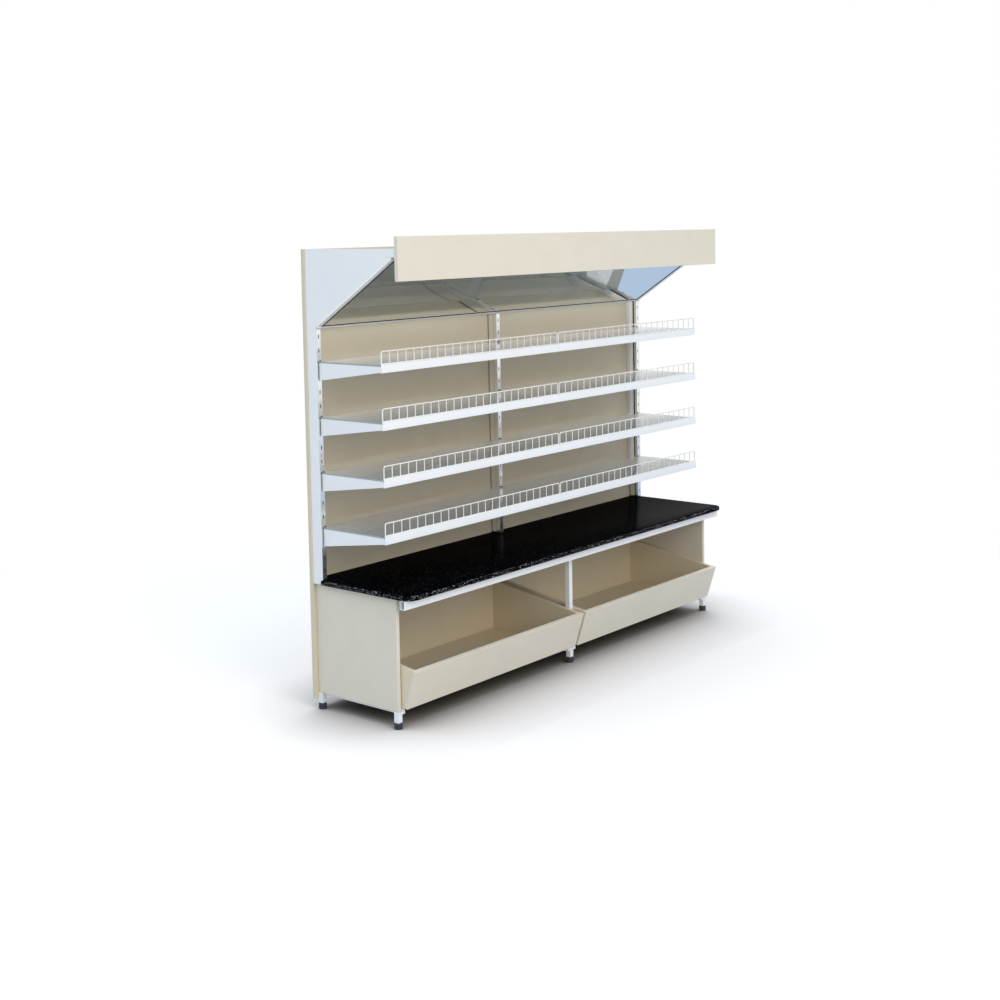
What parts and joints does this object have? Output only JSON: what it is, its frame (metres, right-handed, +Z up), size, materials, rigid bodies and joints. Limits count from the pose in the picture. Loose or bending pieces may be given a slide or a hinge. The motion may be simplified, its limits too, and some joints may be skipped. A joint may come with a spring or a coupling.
{
  "type": "display shelf",
  "caption": "Free-standing shop display shelf: slotted uprights with wire-guarded glass shelves over a dark counter, pull-out bins below and a mirrored canopy above.",
  "frame": {"origin": "on the floor, below the middle of the whole unit's bounding box", "axes": "+X along the run of bays to the customer's right, +Y to the back boards, +Z up"},
  "size_m": [2.044, 0.501, 1.7165],
  "materials": {
    "laminate": "satin beige laminate on board",
    "white_steel": "satin white powder coat",
    "profile": "satin, white front",
    "glass": "clear float glass",
    "counter_laminate": "gloss black laminate with grey speckles",
    "mirror": "silvered",
    "foot_plastic": "matte black"
  },
  "bodies": {
    "shelf_unit": {"back_board_left": "laminate", "back_board_right": "laminate", "base_frame": "white_steel", "bracket_1_left": "white_steel", "bracket_1_middle": "white_steel", "bracket_1_right": "white_steel", "bracket_2_left": "white_steel", "bracket_2_middle": "white_steel", "bracket_2_right": "white_steel", "bracket_3_left": "white_steel", "bracket_3_middle": "white_steel", "bracket_3_right": "white_steel", "bracket_4_left": "white_steel", "bracket_4_middle": "white_steel", "bracket_4_right": "white_steel", "canopy_arm": "white_steel", "canopy_plate_left": "white_steel", "canopy_plate_right": "white_steel", "counter": "counter_laminate", "fascia": "laminate", "front_rail": "white_steel", "mirror_left": "mirror", "mirror_right": "mirror", "shelf_front_1_left": "white_steel", "shelf_front_1_right": "white_steel", "shelf_front_2_left": "white_steel", "shelf_front_2_right": "white_steel", "shelf_front_3_left": "white_steel", "shelf_front_3_right": "white_steel", "shelf_front_4_left": "white_steel", "shelf_front_4_right": "white_steel", "shelf_pane_1_left": "glass", "shelf_pane_1_right": "glass", "shelf_pane_2_left": "glass", "shelf_pane_2_right": "glass", "shelf_pane_3_left": "glass", "shelf_pane_3_right": "glass", "shelf_pane_4_left": "glass", "shelf_pane_4_right": "glass", "side_panel_left": "laminate", "side_panel_right": "laminate", "upright_left": "profile", "upright_middle": "profile", "upright_right": "profile"},
    "bin_left": {"bin_left_back": "laminate", "bin_left_floor": "laminate", "bin_left_front": "laminate", "bin_left_wall_left": "laminate", "bin_left_wall_right": "laminate"},
    "bin_right": {"bin_right_back": "laminate", "bin_right_floor": "laminate", "bin_right_front": "laminate", "bin_right_wall_left": "laminate", "bin_right_wall_right": "laminate"},
    "foot_front_left_body": {"foot_front_left": "foot_plastic"},
    "foot_front_middle_body": {"foot_front_middle": "foot_plastic"},
    "foot_front_right_body": {"foot_front_right": "foot_plastic"},
    "foot_rear_left_body": {"foot_rear_left": "foot_plastic"},
    "foot_rear_middle_body": {"foot_rear_middle": "foot_plastic"},
    "foot_rear_right_body": {"foot_rear_right": "foot_plastic"}
  },
  "joints": [
    {"name": "bin_left_slide", "type": "slide", "parent": "shelf_unit", "child": "bin_left", "axis": [0, -1, 0], "range_m": [0, 0.3]},
    {"name": "bin_right_slide", "type": "slide", "parent": "shelf_unit", "child": "bin_right", "axis": [0, -1, 0], "range_m": [0, 0.3]},
    {"name": "foot_front_left_level", "type": "slide", "parent": "shelf_unit", "child": "foot_front_left_body", "axis": [0, 0, -1], "range_m": [0, 0.015]},
    {"name": "foot_front_middle_level", "type": "slide", "parent": "shelf_unit", "child": "foot_front_middle_body", "axis": [0, 0, -1], "range_m": [0, 0.015]},
    {"name": "foot_front_right_level", "type": "slide", "parent": "shelf_unit", "child": "foot_front_right_body", "axis": [0, 0, -1], "range_m": [0, 0.015]},
    {"name": "foot_rear_left_level", "type": "slide", "parent": "shelf_unit", "child": "foot_rear_left_body", "axis": [0, 0, -1], "range_m": [0, 0.015]},
    {"name": "foot_rear_middle_level", "type": "slide", "parent": "shelf_unit", "child": "foot_rear_middle_body", "axis": [0, 0, -1], "range_m": [0, 0.015]},
    {"name": "foot_rear_right_level", "type": "slide", "parent": "shelf_unit", "child": "foot_rear_right_body", "axis": [0, 0, -1], "range_m": [0, 0.015]}
  ]
}
